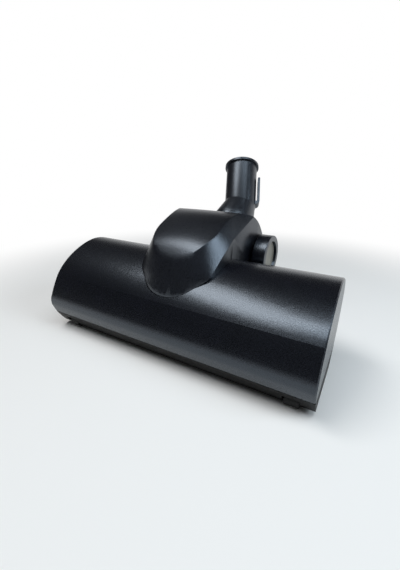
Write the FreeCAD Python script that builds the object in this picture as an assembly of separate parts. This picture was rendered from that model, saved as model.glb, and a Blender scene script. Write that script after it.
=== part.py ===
import FreeCAD, Part
import math
import os

# Vacuum turbo brush: domed head with an air-driven brush roller, tilting neck and swivelling wand socket.
# Millimetres. X runs along the roller to the right, Y to the back, Z up from the floor.
# Sizes are worked out from the crease between front face and dome (y = 0) and shifted at the end,
# so that the origin lies on the floor under the middle of the whole part.

V = FreeCAD.Vector

# Head
HEAD_WIDTH = 285.0
WALL = 2.2
CREASE_HEIGHT = 60.0
NOSE_REACH = 12.8
NOSE_TOP = 36.0
NOSE_BOTTOM = 28.5
SEAM_HEIGHT = 19.6
SEAM_SETBACK = 3.7
LIP_Y = 1.5
SOLE_HEIGHT = 4.0
SOLE_WALL = 2.4
DOME_RUN = 56.0
DOME_RISE = 29.8
HEAD_BACK = 95.0
SEAM_BACK = 80.0
SOLE_BACK = 64.0
END_TAPER = 4.0
DOME_SHAPE = ((0.0, 0.0), (0.189, 0.369), (0.468, 0.711), (0.72, 0.905), (1.0, 1.0))
END_CHAMFER = 1.0
SEAM_GROOVE = 0.8

# Turbine hood
HOOD_TIP_Y = 3.5
HOOD_HALF_WIDTH = 41.4
HOOD_NOSE_DEPTH = 56.5
HOOD_EXPONENT = 2.35
HOOD_GAP = 0.7
HOOD_BOTTOM = 57.0
CHEEK_START_Y = 112.0
HOOD_BACK = 139.4
CHEEK_CORNER = 9.0
OVAL_TIP = (17.0, 96.0)
OVAL_TILT = 25.0
ROOF_SHAPE = ((-2.0, 72.0), (8.0, 85.0), (17.0, 96.0), (27.0, 107.2), (42.0, 116.6), (60.0, 124.4),
              (78.0, 129.2), (91.0, 128.8), (103.0, 124.4), (114.0, 117.2), (123.0, 108.6), (131.0, 97.0),
              (142.0, 76.0))
ROOF_CROWN = 2.2

# Neck, from the tilt axis to the wand socket
PIVOT = (118.0, 81.0)
BARREL_RADIUS = 20.0
BARREL_HALF = 30.0
SLOT_GAP = 1.0
SLOT_HALF = BARREL_HALF + SLOT_GAP
SLOT_FRONT = 92.5
CHEEK_THICKNESS = 14.5
CHEEK_HALF_WIDTH = SLOT_HALF + CHEEK_THICKNESS
NECK_ELEVATION = 42.6
COLLAR_RADIUS = 24.0
COLLAR_AT = 38.0
BEND_AT = 64.4
TUBE_RADIUS = 18.6
TUBE_LENGTH = 54.2
TUBE_YAW = 24.0
TUBE_ELEVATION = 54.2
SOCKET_RADIUS = 16.0
SOCKET_DEPTH = 38.0
RIM_RADIUS = 20.8
RIM_HEIGHT = 2.6
HOOK_GAP = 1.5
HOOK_THICKNESS = 2.8
HOOK_WIDTH = 12.0
HOOK_TOP = 36.0
HOOK_CORNER = 5.0
HUB_RADIUS = 22.6
HUB_WIDTH = 13.5
HUB_GAP = 1.0
HUB_OUT = CHEEK_HALF_WIDTH + HUB_GAP + HUB_WIDTH
HUB_RIM = 2.4
HUB_RECESS = 3.2
JOURNAL_RADIUS = 8.0
SPIGOT_RADIUS = 6.0
SPIGOT_LENGTH = 8.0

# Brush roller
ROLLER = (30.0, 26.0)
BRISTLE_RADIUS = 24.0
CORE_RADIUS = 14.0
CHAMBER_RADIUS = 27.0
END_ROOM = 29.0
CHAMBER_HALF = HEAD_WIDTH / 2 - END_ROOM
CORE_GAP = 4.5
CORE_HALF = CHAMBER_HALF - CORE_GAP
MOUTH_HALF_DEPTH = 22.0
MOUTH_EDGE = 1.5
PLATE = 2.0
CORE_WAIST = 6.0
AXLE_RADIUS = 3.0
BEARING_RADIUS = 7.0
BEARING_LENGTH = 2.5

# Belt drive
BELT_X = -32.0
BELT_WIDTH = 6.0
BELT_THICKNESS = 1.2
PULLEY_RADIUS = 11.0
PINION_RADIUS = 5.5
PULLEY_WIDTH = 7.2
GUARD_RADIUS = 17.0
GUARD_WALL = 1.2
GUARD_HALF = 6.3

# Turbine
TURBINE = (67.0, 80.0)
WHEEL_RADIUS = 24.0
WHEEL_HALF = 20.0
VOLUTE_RADIUS = 26.0
VOLUTE_HALF = 24.0
BLADES = 12
TURBINE_AXLE = 2.5
TURBINE_BEARING = 6.0

# Wheels
FRONT_ROLLER_END = 18.5
FRONT_ROLLER_X = HEAD_WIDTH / 2 - FRONT_ROLLER_END
FRONT_ROLLER_Y = 5.0
FRONT_ROLLER_RADIUS = 6.0
FRONT_ROLLER_WIDTH = 12.0
FRONT_AXLE_RADIUS = 1.5
ROLLER_ROOM = 0.8
REAR_WHEEL_RADIUS = 11.0
REAR_WHEEL_WIDTH = 7.0
REAR_WHEEL_X = SLOT_HALF + 7.3
REAR_WHEEL_Y = 119.0
REAR_AXLE_RADIUS = 2.0

# Fits
RUNNING = 0.06
FREE = 0.3

# Screws and lint strip
SCREW_END = 15.5
SCREW_X = HEAD_WIDTH / 2 - SCREW_END
SCREWS = ((SCREW_X, 26.0), (SCREW_X, 57.0), (CHEEK_HALF_WIDTH + 14.5, 67.0))
SCREW_HEAD_Z = 6.0
SCREW_HEAD_RADIUS = 3.5
SCREW_HEAD_HEIGHT = 2.8
SCREW_RADIUS = 1.5
SCREW_LENGTH = 24.0
SCREW_PLAY = 0.2
POST_RADIUS = 4.8
STRIP_WIDTH = 8.0
STRIP_DEPTH = 1.2
STRIP_BACK = 2.5
STRIP_END = 9.0


# Small helpers shared by the pieces

def box(x, y, z):
    return Part.makeBox(x[1] - x[0], y[1] - y[0], z[1] - z[0], V(x[0], y[0], z[0]))


def rod_x(radius, x, at):
    return Part.makeCylinder(radius, x[1] - x[0], V(x[0], at[0], at[1]), V(1, 0, 0))


def ring_x(outer, inner, x, at):
    return rod_x(outer, x, at).cut(rod_x(inner, x, at))


def mirrored(shape):
    return shape.mirror(V(0, 0, 0), V(1, 0, 0))


def both_sides(shape):
    return shape.fuse(mirrored(shape))


def yz(point, x=0.0):
    return V(x, point[0], point[1])


def line(a, b):
    return Part.LineSegment(a, b).toShape()


def arc(a, b, c):
    return Part.Arc(a, b, c).toShape()


def spline(points):
    curve = Part.BSplineCurve()
    curve.interpolate(points)
    return curve.toShape()


def prism_x(edges, x):
    face = Part.Face(Part.Wire(edges))
    face.translate(V(x[0], 0, 0))
    return face.extrude(V(x[1] - x[0], 0, 0))


def polygon_x(points, x):
    corners = [yz(p) for p in points] + [yz(points[0])]
    return prism_x([line(a, b) for a, b in zip(corners, corners[1:])], x)


def inward(points, distance):
    moved = []
    for i, (y, z) in enumerate(points):
        before = points[max(i - 1, 0)]
        after = points[min(i + 1, len(points) - 1)]
        dy, dz = after[0] - before[0], after[1] - before[1]
        length = math.hypot(dy, dz)
        moved.append((y + distance * dz / length, z - distance * dy / length))
    return moved


# Top cover: the domed shell, the flat ends and the screw posts

def dome_points():
    front = [(y * DOME_RUN, CREASE_HEIGHT + z * DOME_RISE) for y, z in DOME_SHAPE]
    back = []
    for step in (1, 2, 3):
        turn = math.radians(30 * step)
        back.append((DOME_RUN + (HEAD_BACK - DOME_RUN) * math.sin(turn),
                     CREASE_HEIGHT + DOME_RISE * math.cos(turn)))
    return front + back


def end_x(y, reach):
    """Half width at depth y: the ends lean together towards the back."""
    return reach - END_TAPER * (y + NOSE_REACH) / (HEAD_BACK + NOSE_REACH)


def end_point(point, reach, side):
    return V(side * end_x(point[0], reach), point[0], point[1])


def between_ends(inset):
    """Block that reaches from end to end of the head."""
    reach = HEAD_WIDTH / 2 - inset
    front, back = -50.0, 150.0
    corners = []
    for y, side in ((front, -1), (front, 1), (back, 1), (back, -1)):
        corners.append(V(side * end_x(y, reach), y, 0))
    face = Part.Face(Part.makePolygon(corners + [corners[0]]))
    return face.extrude(V(0, 0, 150))


def cover_wire(inset, reach, side):
    def at(y, z):
        return end_point((y, z), reach, side)

    dome = inward(dome_points(), inset) if inset else dome_points()
    dome[-1] = (HEAD_BACK - inset, CREASE_HEIGHT)
    seam_front = at(-NOSE_REACH + SEAM_SETBACK + inset, SEAM_HEIGHT)
    nose_low = at(-NOSE_REACH + 0.2 + inset, NOSE_BOTTOM)
    nose_tip = at(-NOSE_REACH - 0.1 + inset, (NOSE_TOP + NOSE_BOTTOM) / 2)
    nose_high = at(-NOSE_REACH + 0.3 + inset, NOSE_TOP)
    crease = at(*dome[0])
    face_middle = at((dome[0][0] - NOSE_REACH + 0.3 + inset) / 2 - 0.7, (dome[0][1] + NOSE_TOP) / 2)
    back_middle = at(HEAD_BACK - 4.2 - inset, (CREASE_HEIGHT + SEAM_HEIGHT) / 2)
    seam_back = at(SEAM_BACK - inset, SEAM_HEIGHT)
    return Part.Wire([
        line(seam_front, nose_low),
        arc(nose_low, nose_tip, nose_high),
        arc(nose_high, face_middle, crease),
        spline([at(*p) for p in dome]),
        arc(at(*dome[-1]), back_middle, seam_back),
        line(seam_back, seam_front),
    ])


def cover_form(inset):
    block = prism_x(cover_wire(inset, 0, 0).Edges, (-HEAD_WIDTH, HEAD_WIDTH))
    return block.common(between_ends(inset))


def chamfered_cover():
    half = HEAD_WIDTH / 2
    wires = []
    for side, inset in ((-1, END_CHAMFER), (-1, 0), (1, 0), (1, END_CHAMFER)):
        wires.append(cover_wire(inset, half if inset else half - END_CHAMFER, side))
    return Part.makeLoft(wires, True, True)


def hood_outline(y_tip, half_width, depth, flare, back, z):
    """Half outline of the hood in plan, from its tip round the nose and back along one side."""
    points = []
    for step in range(9):
        turn = math.radians(90.0 * step / 8)
        x = half_width * math.sin(turn) ** (2 / HOOD_EXPONENT)
        y = y_tip + depth * (1 - math.cos(turn) ** (2 / HOOD_EXPONENT))
        points.append(V(x, y, z))
    side = points[-1]
    flared = V(flare, CHEEK_START_Y, z)
    rear = V(flare, back - CHEEK_CORNER, z)
    corner = V(flare - CHEEK_CORNER * (1 - math.sqrt(0.5)), back - CHEEK_CORNER * (1 - math.sqrt(0.5)), z)
    end = V(flare - CHEEK_CORNER, back, z)
    middle = V(0, back, z)
    return [spline(points), line(side, flared), line(flared, rear), arc(rear, corner, end), line(end, middle)]


def hood_prism(inset, z):
    half = hood_outline(HOOD_TIP_Y + inset, HOOD_HALF_WIDTH - inset, HOOD_NOSE_DEPTH - inset,
                        CHEEK_HALF_WIDTH - inset, HOOD_BACK - max(inset, 0), z[0])
    other = [edge.mirror(V(0, 0, 0), V(1, 0, 0)) for edge in half]
    face = Part.Face(Part.Wire(Part.__sortEdges__(half + other)))
    return face.extrude(V(0, 0, z[1] - z[0]))


def top_cover():
    outer = chamfered_cover()
    inner = cover_form(WALL)
    posts = []
    for x, y in SCREWS:
        posts.append(Part.makeCylinder(POST_RADIUS - SCREW_PLAY, 90, V(x, y, SEAM_HEIGHT)))
    posts = both_sides(posts[0].multiFuse(posts[1:])).common(outer)
    rib = box((CHAMBER_HALF + 6, CHAMBER_HALF + 7.6), (4, HEAD_BACK - 12), (SEAM_HEIGHT + 37, 100))
    shell = outer.cut(inner).fuse(posts).fuse(both_sides(rib).common(inner))
    for x, y in SCREWS:
        pilot = Part.makeCylinder(SCREW_RADIUS, SCREW_LENGTH - 6, V(x, y, SEAM_HEIGHT - 1))
        shell = shell.cut(both_sides(pilot))
    opening = hood_prism(0, (SEAM_HEIGHT - 1, 150))
    return shell.cut(opening)


# Turbine hood: oval slanting face, steep skirt, cheeks and the slot in which the neck tilts

def tilted(x, along, out):
    turn = math.radians(OVAL_TILT)
    y = OVAL_TIP[0] + along * math.cos(turn) - out * math.sin(turn)
    z = OVAL_TIP[1] + along * math.sin(turn) + out * math.cos(turn)
    return V(x, y, z)


def skirt_section(out, inset):
    """Tongue-shaped section parallel to the oval face, wider and longer the lower it lies."""
    half_width = 32.6 - (out - 4.8) * 0.763 - inset * 1.26
    tip = out * 1.113 + inset * 1.5
    depth = 34.0 + (6.2 - out) * 1.57 - inset * 0.5
    points = []
    for step in range(9):
        turn = math.radians(90.0 * step / 8)
        x = half_width * math.sin(turn) ** (2 / 2.3)
        along = tip + depth * (1 - math.cos(turn) ** (2 / 2.3))
        points.append((x, along))
    right = [tilted(x, along, out) for x, along in points]
    left = [tilted(-x, along, out) for x, along in reversed(points)]
    back = 230.0
    rear = [tilted(half_width, back, out), tilted(-half_width, back, out)]
    nose = spline(left + right[1:])
    edges = [nose, line(right[-1], rear[0]), line(rear[0], rear[1]), line(rear[1], left[0])]
    return Part.Wire(edges)


def skirt_form(inset):
    return Part.makeLoft([skirt_section(-70.0, inset), skirt_section(15.0, inset)], True, True)


def roof_form(inset):
    """Everything under the roof: crowned sections, one behind the other."""
    half, low = 60.0, 20.0
    sections = []
    for y, z in inward(ROOF_SHAPE, inset) if inset else ROOF_SHAPE:
        fade = min(max((SLOT_FRONT + 8 - y) / 60.0, 0.12), 1.0)
        edge_height = z - ROOF_CROWN * fade * (half / SLOT_HALF) ** 2
        top = arc(V(-half, y, edge_height), V(0, y, z), V(half, y, edge_height))
        sides = [line(V(half, y, edge_height), V(half, y, low)), line(V(half, y, low), V(-half, y, low)),
                 line(V(-half, y, low), V(-half, y, edge_height))]
        sections.append(Part.Wire([top] + sides))
    return Part.makeLoft(sections, True, False)


def hood_form(inset):
    walls = hood_prism(HOOD_GAP + inset, (HOOD_BOTTOM - 1, 150))
    return walls.common(skirt_form(inset)).common(roof_form(inset))


def turbine_hood():
    outer = hood_form(0)
    inner = hood_form(WALL)
    shell = outer.cut(inner)
    cheek = box((SLOT_HALF, SLOT_HALF + WALL), (SLOT_FRONT - WALL, HOOD_BACK), (HOOD_BOTTOM, 150))
    front = box((-SLOT_HALF - WALL, SLOT_HALF + WALL), (SLOT_FRONT - WALL, SLOT_FRONT), (98, 150))
    shell = shell.fuse(both_sides(cheek).common(outer)).fuse(front.common(outer))
    slot = box((-SLOT_HALF, SLOT_HALF), (SLOT_FRONT, HOOD_BACK + 5), (HOOD_BOTTOM - 5, 150))
    below = box((-60, 60), (HEAD_BACK - WALL - HOOD_GAP, HOOD_BACK + 5), (HOOD_BOTTOM - 5, PIVOT[1]))
    base = box((-60, 60), (-5, HOOD_BACK + 5), (HOOD_BOTTOM - 5, HOOD_BOTTOM))
    bore = rod_x(JOURNAL_RADIUS + RUNNING, (-60, 60), PIVOT)
    return shell.cut(slot).cut(below).cut(base).cut(bore)


# Base plate: sole with the mouth, brush chamber, bearing plates, roller pockets and rear box

def base_section(inset):
    low = SOLE_HEIGHT + (SOLE_WALL if inset else 0)
    top = SEAM_HEIGHT + (1.0 if inset else 0)
    points = [(-NOSE_REACH + SEAM_SETBACK + inset, top), (-2.4 + inset, 9.1 + inset / 2), (LIP_Y + inset, low)]
    points += [(SOLE_BACK - inset, low), (SEAM_BACK - inset, SEAM_HEIGHT - 1), (SEAM_BACK - inset, top)]
    return polygon_x(points, (-HEAD_WIDTH, HEAD_WIDTH)).common(between_ends(inset))


def chamber(radius, half, low):
    arch = rod_x(radius, (-half, half), ROLLER)
    sides = (ROLLER[0] - radius, ROLLER[0] + radius)
    legs = box((-half, half), sides, (low, ROLLER[1]))
    below = box((-half, half), sides, (ROLLER[1] - radius - 1, low))
    return arch.fuse(legs).cut(below)


def rear_box():
    outer = hood_prism(HOOD_GAP, (SOLE_HEIGHT, PIVOT[1]))
    inner = hood_prism(HOOD_GAP + WALL, (SOLE_HEIGHT + SOLE_WALL, PIVOT[1] + 1))
    shell = outer.cut(inner)
    joint_y = HEAD_BACK - WALL - HOOD_GAP + FREE
    front = box((-60, 60), (-20, SOLE_BACK - 2), (SOLE_HEIGHT - 1, PIVOT[1] + 1))
    under_hood = box((-60, 60), (-20, joint_y), (HOOD_BOTTOM - 1, PIVOT[1] + 1))
    low_back = box((-SLOT_HALF, SLOT_HALF), (HOOD_BACK - 30, HOOD_BACK + 5), (56, PIVOT[1] + 1))
    cheek = box((SLOT_HALF, SLOT_HALF + WALL), (joint_y, HOOD_BACK - WALL), (SOLE_HEIGHT, PIVOT[1]))
    return shell.cut(front).cut(under_hood).cut(low_back).fuse(both_sides(cheek))


def front_axle_x():
    reach = FRONT_ROLLER_WIDTH / 2 + ROLLER_ROOM + 1.2
    return (FRONT_ROLLER_X - reach, FRONT_ROLLER_X + reach)


def rear_axle_x():
    return (SLOT_HALF + 0.6, CHEEK_HALF_WIDTH - 1.4)


def roller_pockets(outer):
    reach = FRONT_ROLLER_WIDTH / 2 + ROLLER_ROOM
    top = 2 * FRONT_ROLLER_RADIUS + ROLLER_ROOM
    back = FRONT_ROLLER_Y + FRONT_ROLLER_RADIUS + ROLLER_ROOM
    wall = 1.6
    x_wall = (FRONT_ROLLER_X - reach - wall, FRONT_ROLLER_X + reach + wall)
    walls = box(x_wall, (-20, back + wall), (SOLE_HEIGHT, top + wall))
    hollow = box((FRONT_ROLLER_X - reach, FRONT_ROLLER_X + reach), (-20, back), (0, top))
    bore = rod_x(FRONT_AXLE_RADIUS, front_axle_x(), (FRONT_ROLLER_Y, FRONT_ROLLER_RADIUS))
    return both_sides(walls.common(outer)), both_sides(hollow.fuse(bore))


def base_plate():
    outer = base_section(0)
    shell = outer.cut(base_section(WALL))
    pockets, hollows = roller_pockets(outer)
    arch = chamber(CHAMBER_RADIUS + PLATE, CHAMBER_HALF + BEARING_LENGTH, SOLE_HEIGHT)
    posts = []
    for x, y in SCREWS:
        posts.append(Part.makeCylinder(POST_RADIUS, SEAM_HEIGHT - SOLE_HEIGHT, V(x, y, SOLE_HEIGHT)))
    posts = both_sides(posts[0].multiFuse(posts[1:])).common(outer)
    shell = shell.fuse(arch).fuse(pockets).fuse(posts).fuse(rear_box())
    shell = shell.cut(chamber(CHAMBER_RADIUS, CHAMBER_HALF, SOLE_HEIGHT + SOLE_WALL))
    mouth_half = CHAMBER_HALF - MOUTH_EDGE
    mouth_y = (ROLLER[0] - MOUTH_HALF_DEPTH, ROLLER[0] + MOUTH_HALF_DEPTH)
    mouth = box((-mouth_half, mouth_half), mouth_y, (0, SOLE_HEIGHT + SOLE_WALL + 1))
    shell = shell.cut(mouth).cut(hollows)
    for x, y in SCREWS:
        head = Part.makeCylinder(SCREW_HEAD_RADIUS + SCREW_PLAY, SCREW_HEAD_Z + SCREW_HEAD_HEIGHT, V(x, y, 0))
        shaft = Part.makeCylinder(SCREW_RADIUS + SCREW_PLAY, SEAM_HEIGHT + 1, V(x, y, 0))
        shell = shell.cut(both_sides(head.fuse(shaft)))
    bearing_end = CHAMBER_HALF + BEARING_LENGTH
    shell = shell.cut(rod_x(BEARING_RADIUS, (-bearing_end, bearing_end), ROLLER))
    shell = shell.cut(inlet_form(-PLATE)).cut(belt_slot())
    groove = outer.cut(base_section(SEAM_GROOVE)).common(box((-200, 200), (-50, 200), (SEAM_HEIGHT - 1, SEAM_HEIGHT)))
    shell = shell.cut(groove.cut(rear_box()))
    bore = rod_x(JOURNAL_RADIUS + RUNNING, (-60, 60), PIVOT)
    room = REAR_WHEEL_WIDTH / 2 + ROLLER_ROOM
    wheel_room = box((REAR_WHEEL_X - room, REAR_WHEEL_X + room),
                     (REAR_WHEEL_Y - REAR_WHEEL_RADIUS - 1, REAR_WHEEL_Y + REAR_WHEEL_RADIUS + 1),
                     (0, SOLE_HEIGHT + SOLE_WALL + 1))
    axle = rod_x(REAR_AXLE_RADIUS, rear_axle_x(), (REAR_WHEEL_Y, REAR_WHEEL_RADIUS))
    return shell.cut(bore).cut(both_sides(wheel_room)).cut(both_sides(axle))


# Brush roller: core with helical tuft rows, pulley and axle

def roller_core():
    core = rod_x(CORE_RADIUS, (-CORE_HALF, CORE_HALF), ROLLER)
    for end in (-1, 1):
        x = sorted((end * CORE_HALF, end * (CORE_HALF + 1.6)))
        core = core.fuse(rod_x(CORE_RADIUS + 3, x, ROLLER))
    neck_x = (BELT_X - GUARD_HALF - 1.2, BELT_X + GUARD_HALF + 1.2)
    core = core.cut(ring_x(CORE_RADIUS + 1, CORE_WAIST, neck_x, ROLLER))
    for rows in tuft_rows().values():
        core = core.cut(rows[0]).cut(rows[1])
    return core.cut(rod_x(AXLE_RADIUS, (-150, 150), ROLLER))


def tuft_row(x, start, turn):
    """One helical row: radial blade swept along the core while it turns."""
    steps = 6
    wires = []
    for step in range(steps + 1):
        at = x[0] + (x[1] - x[0]) * step / steps
        angle = start + turn * step / steps
        corners = []
        for r, side in ((CORE_RADIUS - 0.9, -1), (BRISTLE_RADIUS, -1), (BRISTLE_RADIUS, 1), (CORE_RADIUS - 0.9, 1)):
            width = 1.7 if r < BRISTLE_RADIUS else 1.2
            y = r * math.cos(angle) - side * width * math.sin(angle)
            z = r * math.sin(angle) + side * width * math.cos(angle)
            corners.append(V(at, ROLLER[0] + y, ROLLER[1] + z))
        wires.append(Part.makePolygon(corners + [corners[0]]))
    return Part.makeLoft(wires, True, False)


def tuft_rows():
    rows = {"bristles_left": [], "bristles_right": []}
    for start in (0.35, 0.35 + math.pi):
        rows["bristles_left"].append(tuft_row((-CORE_HALF + 2, BELT_X - 9), start, -1.6))
        rows["bristles_right"].append(tuft_row((BELT_X + 9, CORE_HALF - 2), start - 1.6, 2.6))
    return rows


def toothed(radius, x, at, teeth, depth):
    wheel = rod_x(radius, x, at)
    for i in range(teeth):
        angle = 2 * math.pi * i / teeth
        centre = (at[0] + radius * math.cos(angle), at[1] + radius * math.sin(angle))
        wheel = wheel.cut(rod_x(depth, (x[0] - 1, x[1] + 1), centre))
    return wheel


def roller_pulley():
    x = (BELT_X - PULLEY_WIDTH / 2, BELT_X + PULLEY_WIDTH / 2)
    pulley = toothed(PULLEY_RADIUS, x, ROLLER, 20, 0.9)
    return pulley.cut(rod_x(CORE_WAIST, (x[0] - 1, x[1] + 1), ROLLER))


# Turbine: wheel with curved blades, axle, pinion and the volute round it

def turbine_wheel():
    wheel = rod_x(7.0, (-WHEEL_HALF, WHEEL_HALF), TURBINE)
    wheel = wheel.fuse(rod_x(WHEEL_RADIUS - 2, (-1, 1), TURBINE))
    for i in range(BLADES):
        angle = 2 * math.pi * i / BLADES
        ends = []
        for radius, lead in ((6.0, 0.0), (15.0, 0.16), (WHEEL_RADIUS, 0.62)):
            ends.append((radius, angle + lead))
        faces = []
        for side in (-1, 1):
            curve = []
            for radius, at in ends:
                shifted = at + side * 0.75 / radius
                curve.append(yz((TURBINE[0] + radius * math.cos(shifted), TURBINE[1] + radius * math.sin(shifted))))
            faces.append(curve)
        inner, outer = faces
        edges = [arc(*inner), line(inner[2], outer[2]), arc(*reversed(outer)), line(outer[0], inner[0])]
        wheel = wheel.fuse(prism_x(edges, (-WHEEL_HALF, WHEEL_HALF)))
    return wheel.cut(rod_x(TURBINE_AXLE, (-50, 50), TURBINE))


def between(start, end):
    """Unit vector from one axis to another in the YZ plane, and the distance."""
    dy, dz = end[0] - start[0], end[1] - start[1]
    length = math.hypot(dy, dz)
    return (dy / length, dz / length), length


def slanted_box(x, start, end, height, low, high):
    (uy, uz), _ = between(start, end)
    corners = []
    for along, across in ((low, -height), (high, -height), (high, height), (low, height)):
        corners.append((start[0] + along * uy - across * uz, start[1] + along * uz + across * uy))
    return polygon_x(corners, x)


def inlet_form(extra):
    half = 20.0 + extra
    return slanted_box((-half, half), ROLLER, TURBINE, 9.0 + extra, CHAMBER_RADIUS - 2, CHAMBER_RADIUS + 16)


def belt_slot():
    reach = PULLEY_RADIUS + BELT_THICKNESS + 1.0
    return slanted_box((BELT_X - 5, BELT_X + 5), ROLLER, TURBINE, reach, CHAMBER_RADIUS - 16, CHAMBER_RADIUS + 12)


def turbine_housing():
    seat_radius = BARREL_RADIUS + FREE + 0.1
    x = (-VOLUTE_HALF - PLATE, VOLUTE_HALF + PLATE)
    solid = rod_x(VOLUTE_RADIUS + PLATE, x, TURBINE)
    solid = solid.fuse(inlet_form(0).cut(rod_x(CHAMBER_RADIUS + PLATE + 0.1, (-60, 60), ROLLER)))
    seat = rod_x(seat_radius + PLATE, (-BARREL_HALF + 1, BARREL_HALF - 1), PIVOT)
    seat = seat.common(box((-60, 60), (60, PIVOT[0] - 4), (0, PIVOT[1] + 7)))
    floor_z = SOLE_HEIGHT + SOLE_WALL
    feet = box((VOLUTE_HALF - 4, VOLUTE_HALF - 2), (SOLE_BACK + 21, SOLE_BACK + 29), (floor_z, TURBINE[1] - 10))
    solid = solid.fuse(seat).fuse(both_sides(feet)).fuse(slanted_box((-20, 20), TURBINE, PIVOT, 9.0, 20, 40))
    hollow = rod_x(VOLUTE_RADIUS, (-VOLUTE_HALF, VOLUTE_HALF), TURBINE)
    outlet = slanted_box((-18, 18), TURBINE, PIVOT, 7.0, 20, 40)
    solid = solid.cut(hollow).cut(inlet_form(-PLATE)).cut(outlet)
    solid = solid.cut(rod_x(seat_radius, (-60, 60), PIVOT))
    return solid.cut(rod_x(TURBINE_BEARING, (-60, 60), TURBINE))


# Drive belt and its guard

def belt_band(extra, x):
    """Solid bounded by the open belt's outer side: two circles and their tangents."""
    small, large = PINION_RADIUS + extra, PULLEY_RADIUS + extra
    (uy, uz), length = between(ROLLER, TURBINE)
    lean = math.asin((large - small) / length)
    corners = []
    for centre, radius, side in ((ROLLER, large, 1), (TURBINE, small, 1), (TURBINE, small, -1), (ROLLER, large, -1)):
        sin, cos = math.sin(lean), math.cos(lean)
        y = centre[0] + radius * (sin * uy - side * cos * uz)
        z = centre[1] + radius * (sin * uz + side * cos * uy)
        corners.append((y, z))
    straight = polygon_x(corners, x)
    return straight.fuse(rod_x(large, x, ROLLER)).fuse(rod_x(small, x, TURBINE))


def drive_belt():
    x = (BELT_X - BELT_WIDTH / 2, BELT_X + BELT_WIDTH / 2)
    band = belt_band(FREE + BELT_THICKNESS, x)
    return band.cut(belt_band(FREE, x))


def belt_guard():
    outer_x = (BELT_X - GUARD_HALF, BELT_X + GUARD_HALF)
    inner_x = (outer_x[0] + GUARD_WALL, outer_x[1] - GUARD_WALL)
    inner_radius = GUARD_RADIUS - GUARD_WALL
    waist = CORE_WAIST + 3 * FREE
    reach = CHAMBER_RADIUS + 10
    outer = rod_x(GUARD_RADIUS, outer_x, ROLLER).fuse(slanted_box(outer_x, ROLLER, TURBINE, GUARD_RADIUS, 0, reach))
    inner = rod_x(inner_radius, inner_x, ROLLER).fuse(slanted_box(inner_x, ROLLER, TURBINE, inner_radius, 0, reach))
    shell = outer.cut(inner).common(rod_x(CHAMBER_RADIUS - 0.05, outer_x, ROLLER))
    shaft = rod_x(waist, outer_x, ROLLER).fuse(slanted_box(outer_x, ROLLER, TURBINE, waist, 0, reach))
    return shell.cut(shaft)


# Neck: barrel that tilts between the cheeks, and the flared collar of the swivel

def neck_frame():
    rise = math.radians(NECK_ELEVATION)
    return V(0, PIVOT[0], PIVOT[1]), V(0, math.cos(rise), math.sin(rise)), V(0, -math.sin(rise), math.cos(rise))


def along_neck(distance):
    origin, axis, _ = neck_frame()
    return origin + axis * distance


def neck_rod(radius, low, high):
    _, axis, _ = neck_frame()
    return Part.makeCylinder(radius, high - low, along_neck(low), axis)


def neck_cone(radius_low, radius_high, low, high):
    _, axis, _ = neck_frame()
    return Part.makeCone(radius_low, radius_high, high - low, along_neck(low), axis)


def neck_throat(inset, low):
    """Loft from the wide mouth inside the barrel to the round collar."""
    _, axis, up = neck_frame()
    wires = []
    for distance, wide, high in ((low, 26.5, 17.5), (27.0, COLLAR_RADIUS, COLLAR_RADIUS)):
        if wide == high:
            curve = Part.Circle(along_neck(distance), axis, wide - inset)
        else:
            at = along_neck(distance)
            curve = Part.Ellipse(at + V(wide - inset, 0, 0), at + up * (high - inset), at)
        wires.append(Part.Wire([curve.toShape()]))
    return Part.makeLoft(wires, True, True)


def neck():
    body = rod_x(BARREL_RADIUS, (-BARREL_HALF, BARREL_HALF), PIVOT)
    body = body.fuse(neck_throat(0, 6.0)).fuse(neck_rod(COLLAR_RADIUS, 27.0, COLLAR_AT))
    journal_end = HUB_OUT - HUB_WIDTH - 0.5
    body = body.fuse(both_sides(rod_x(JOURNAL_RADIUS, (BARREL_HALF - 1, journal_end), PIVOT)))
    hollow = rod_x(BARREL_RADIUS - WALL, (-BARREL_HALF + WALL, BARREL_HALF - WALL), PIVOT)
    hollow = hollow.fuse(neck_throat(WALL, 5.0))
    body = body.cut(hollow).cut(neck_rod(swivel_radius() + RUNNING, 26.0, COLLAR_AT + 1))
    body = body.cut(neck_rod(swivel_radius() + 1.5, 29.9, 32.6))
    body = body.cut(rod_x(SPIGOT_RADIUS, (-journal_end, journal_end), PIVOT))
    window = box((-22, 22), (PIVOT[0] - 30, PIVOT[0] - 10), (PIVOT[1] - 11, PIVOT[1] + 11))
    return body.cut(window)


def neck_hub():
    inner_face = HUB_OUT - HUB_WIDTH
    journal_end = inner_face - 0.5
    outer = rod_x(HUB_RADIUS, (inner_face, HUB_OUT), PIVOT)
    rims = [edge for edge in outer.Edges if edge.Curve.TypeId == "Part::GeomCircle"]
    outer = outer.makeFillet(HUB_RIM / 3, rims)
    mouth = V(HUB_OUT, PIVOT[0], PIVOT[1])
    recess = Part.makeCone(HUB_RADIUS * 0.735, HUB_RADIUS * 0.70, HUB_RECESS, mouth, V(-1, 0, 0))
    hollow = ring_x(HUB_RADIUS - HUB_RIM, JOURNAL_RADIUS + 1, (inner_face - 1, HUB_OUT - HUB_RECESS - HUB_RIM), PIVOT)
    boss = rod_x(JOURNAL_RADIUS, (journal_end, inner_face + 1), PIVOT)
    spigot = rod_x(SPIGOT_RADIUS - 0.05, (journal_end - SPIGOT_LENGTH, inner_face + 1), PIVOT)
    return outer.cut(recess).cut(hollow).fuse(boss).fuse(spigot)


# Elbow: swivel spigot, flared leg, bend, wand socket and parking hook

def swivel_radius():
    return COLLAR_RADIUS - 2.8


def tube_axis():
    yaw, rise = math.radians(TUBE_YAW), math.radians(TUBE_ELEVATION)
    return V(-math.sin(yaw) * math.cos(rise), math.cos(yaw) * math.cos(rise), math.sin(rise))


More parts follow.
